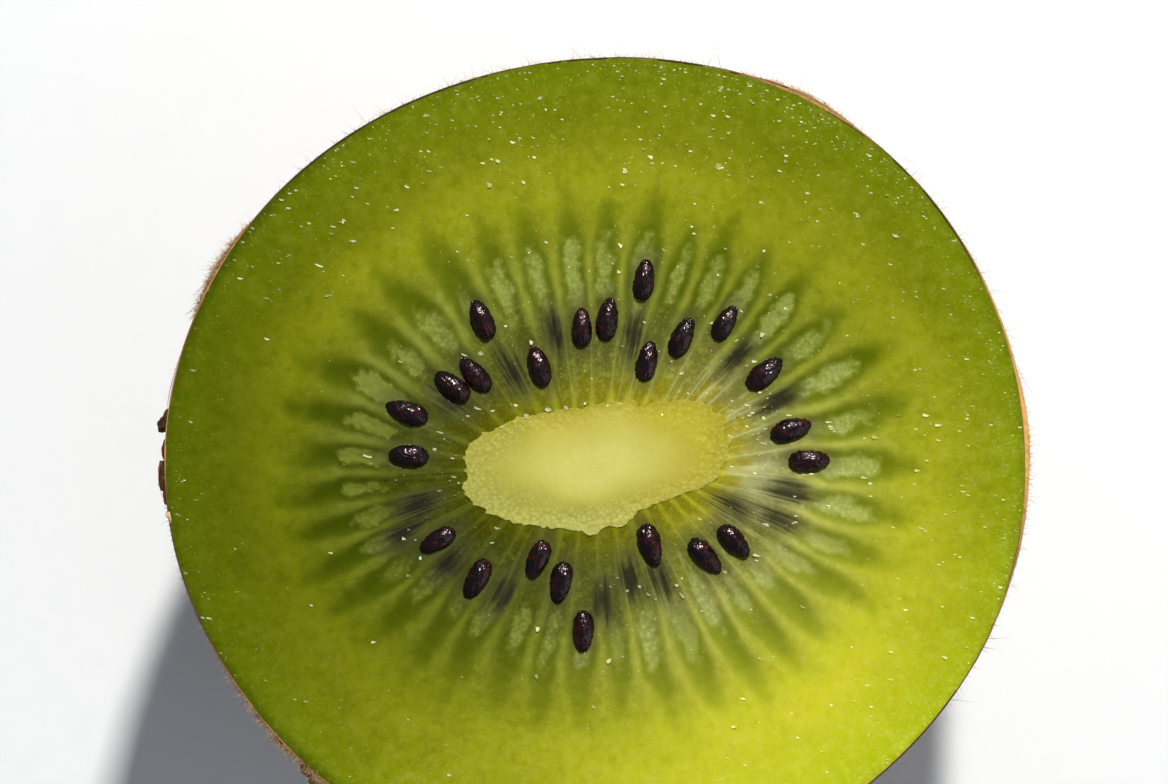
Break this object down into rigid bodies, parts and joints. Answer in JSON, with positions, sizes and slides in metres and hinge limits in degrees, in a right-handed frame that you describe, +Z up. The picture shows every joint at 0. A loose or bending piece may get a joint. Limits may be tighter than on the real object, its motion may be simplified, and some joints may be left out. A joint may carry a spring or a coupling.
{
  "type": "kiwi fruit half",
  "caption": "Half of a green kiwi fruit, cut across, resting on its blunt stem end with the cut face, seeds and pale core up.",
  "frame": {"origin": "on the surface the half rests on, under the middle of its bounding box", "axes": "+Z up, out of the cut face; +X along the long way across the cut face and the core; +Y across it"},
  "size_m": [0.0504, 0.048, 0.0325],
  "materials": {
    "flesh": "wet, juicy green fruit flesh",
    "core": "pale, dense, moist fruit core",
    "skin": "thin, dull, tan-brown fruit skin",
    "fuzz": "short stiff brown hairs",
    "seed": "shiny, finely pitted, dark aubergine seed coat",
    "juice": "clear wet juice"
  },
  "bodies": {
    "root": {"flesh": "flesh", "core": "core"}
  },
  "joints": []
}
